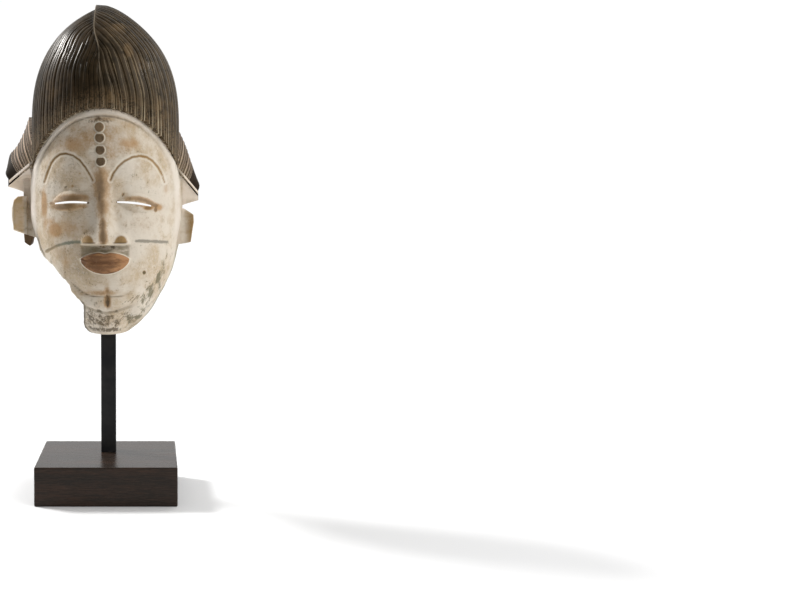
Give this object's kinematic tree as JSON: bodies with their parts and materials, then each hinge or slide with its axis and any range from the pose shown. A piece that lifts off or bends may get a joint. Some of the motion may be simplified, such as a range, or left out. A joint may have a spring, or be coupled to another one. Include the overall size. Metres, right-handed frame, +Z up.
{
  "type": "carved wooden mask on a stand",
  "caption": "Hollow carved wooden face mask with a domed, grooved coiffure, held up by a square rod in a rectangular base block.",
  "frame": {"origin": "centre of the base block's underside", "axes": "+Z up, +X to the right of someone who faces the mask, +Y towards the back of the mask"},
  "size_m": [0.1688, 0.1414, 0.423],
  "materials": {
    "carved_wood": "matte kaolin over worn wood, coiffure blackened and lightly polished",
    "rod_steel": "satin black",
    "base_wood": "dark stained, polished"
  },
  "bodies": {
    "root": {"mask": "carved_wood", "rod": "rod_steel", "base": "base_wood"}
  },
  "joints": []
}
